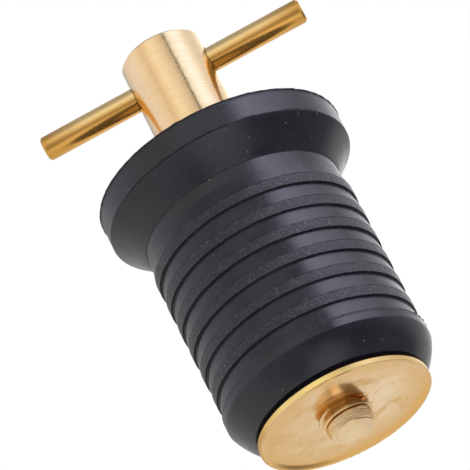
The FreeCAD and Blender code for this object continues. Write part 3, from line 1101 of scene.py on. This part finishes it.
def make_world():
    """White behind the plug for the camera; walls, ceiling and table for reflections."""
    studio = bpy.data.worlds.new("studio")
    bpy.context.scene.world = studio
    studio.use_nodes = True
    world = Nodes(studio.node_tree)
    world.nodes.clear()

    def fade(source, edge):
        """0 below the edge's two values, 1 above them, smooth between."""
        return world.spread(source, 0.0, 1.0, *edge, curve="SMOOTHSTEP")

    direction = world.add("ShaderNodeTexCoord").outputs["Generated"]
    parts = world.split(direction)
    compass = world.math("ARCTAN2", parts["Y"], parts["X"])
    turn = world.spread(compass, 0.0, 1.0, start=-math.pi, end=math.pi)
    wall = world.ramp(turn, [((degrees + 180) / 360, colour) for degrees, colour in WALL])
    room = world.mix(fade(parts["Z"], WALL_FOOT_END), WALL_FOOT, wall)
    room = world.mix(fade(parts["Z"], CEILING_EDGE), room, CEILING)

    front = world.mix(fade(parts["X"], GROUND_SIDES), GROUND_LEFT, GROUND_RIGHT)
    far = world.mix(fade(parts["X"], FAR_SIDES), GROUND_FAR, GROUND_RIGHT)
    ground = world.mix(fade(parts["Y"], FAR_EDGE), front, far)
    ground = world.mix(fade(parts["Y"], BEHIND_EDGE), ground, GROUND_BEHIND)
    aim = world.add("ShaderNodeVectorMath", operation="DOT_PRODUCT")
    world.join(direction, aim.inputs[0])
    aim.inputs[1].default_value = TABLE_DIRECTION
    ground = world.mix(fade(aim.outputs["Value"], GLOW_EDGE), ground, TABLE_GLOW, kind="ADD")

    light = world.add("ShaderNodeBackground")
    world.feed(world.mix(fade(parts["Z"], HORIZON), ground, room), light.inputs["Color"])
    backdrop = world.add("ShaderNodeBackground")
    world.feed((1.0, 1.0, 1.0), backdrop.inputs["Color"])
    choice = world.add("ShaderNodeMixShader")
    world.join(world.add("ShaderNodeLightPath").outputs["Is Camera Ray"], choice.inputs[0])
    world.join(light.outputs[0], choice.inputs[1])
    world.join(backdrop.outputs[0], choice.inputs[2])
    output = world.add("ShaderNodeOutputWorld")
    world.join(choice.outputs[0], output.inputs["Surface"])


# Tall softboxes side by side to the right of the camera. Their left edges lie in one plane through
# the plug, where the rubber's highlights start. They light the rubber alone: brass would burn out.
SOFTBOX_EDGE = Vector((0.84, 0.511, -0.185)).normalized()
SOFTBOX_MIDDLE = Vector((0.935, -1.062, 1.308)).normalized()
SOFTBOX_DISTANCE = 700 * MM
SOFTBOX_HALF_HEIGHT = math.radians(34)
SOFTBOX_WIDTHS = [math.radians(degrees) for degrees in (15, 25, 41)]
SOFTBOX_COLOUR = (0.86, 0.82, 0.96)
SOFTBOX_RADIANCE = 0.92


def make_softboxes(receiver):
    """The softboxes, linked to the one object that they light."""
    only = bpy.data.collections.new("softbox_receivers")
    only.objects.link(receiver)
    for number, width in enumerate(SOFTBOX_WIDTHS):
        half = width / 2
        outward = SOFTBOX_MIDDLE * math.cos(half) + SOFTBOX_EDGE * math.sin(half)
        outward.normalize()
        across = (SOFTBOX_EDGE - outward * SOFTBOX_EDGE.dot(outward)).normalized()
        along = outward.cross(across)
        data = bpy.data.lights.new(f"softbox_{number}", "AREA")
        data.shape = "RECTANGLE"
        data.size = 2 * SOFTBOX_DISTANCE * math.tan(half)
        data.size_y = 2 * SOFTBOX_DISTANCE * math.tan(SOFTBOX_HALF_HEIGHT)
        data.energy = SOFTBOX_RADIANCE * math.pi * data.size * data.size_y
        data.color = SOFTBOX_COLOUR
        lamp = bpy.data.objects.new(data.name, data)
        place = outward * SOFTBOX_DISTANCE
        lamp.matrix_world = Matrix((
            (across.x, along.x, outward.x, place.x),
            (across.y, along.y, outward.y, place.y),
            (across.z, along.z, outward.z, place.z),
            (0, 0, 0, 1),
        ))
        lamp.visible_camera = False
        lamp.light_linking.receiver_collection = only
        bpy.context.scene.collection.objects.link(lamp)


rubber = place_bung()
place_stud()
place_plate()
paint_hub()
paint_bar()
paint_washer()
make_camera()
make_floor()
make_world()
make_softboxes(rubber)
bpy.context.scene.view_settings.view_transform = "Standard"
